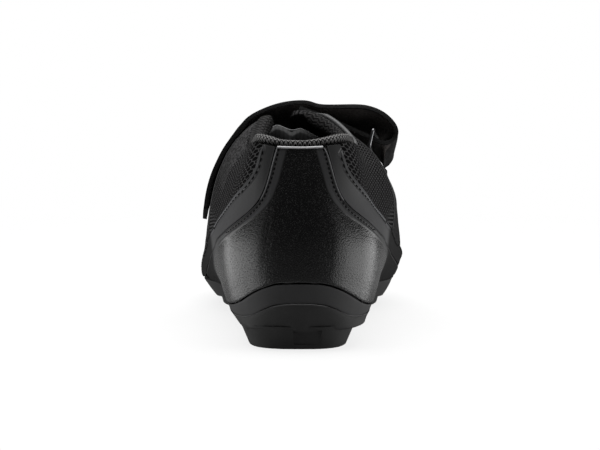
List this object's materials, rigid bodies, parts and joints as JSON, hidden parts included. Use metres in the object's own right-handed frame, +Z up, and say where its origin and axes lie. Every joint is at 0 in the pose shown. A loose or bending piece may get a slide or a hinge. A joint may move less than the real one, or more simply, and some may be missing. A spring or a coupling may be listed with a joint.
{
  "type": "cycling shoe",
  "caption": "Left cycling shoe, black, with grained heel counter, mesh sides, padded collar, stiff sole with rubber pads and a hook-and-loop instep strap through a wire ring.",
  "frame": {"origin": "on the floor under the middle of the shoe's box", "axes": "+Y towards the toe, +X towards the medial side, +Z up"},
  "size_m": [0.0974, 0.2836, 0.1009],
  "materials": {
    "upper": "matte knit and air mesh",
    "heel_counter": "fine grain, soft sheen",
    "stripe_lateral": "smooth, satin",
    "stripe_medial": "smooth, satin",
    "heel_band": "matte",
    "collar": "padded knit",
    "tongue": "padded, matte",
    "insole": "matte",
    "outsole": "moulded, satin",
    "heel_pad": "matte",
    "toe_pad": "matte",
    "instep_strap": "woven, matte",
    "strap_ring": "polished wire",
    "ring_tab": "webbing"
  },
  "bodies": {
    "root": {"upper": "upper", "heel_counter": "heel_counter", "stripe_lateral": "stripe_lateral", "stripe_medial": "stripe_medial", "heel_band": "heel_band", "collar": "collar", "tongue": "tongue", "insole": "insole", "outsole": "outsole", "heel_pad": "heel_pad", "toe_pad": "toe_pad", "instep_strap": "instep_strap", "strap_ring": "strap_ring", "ring_tab": "ring_tab"}
  },
  "joints": []
}
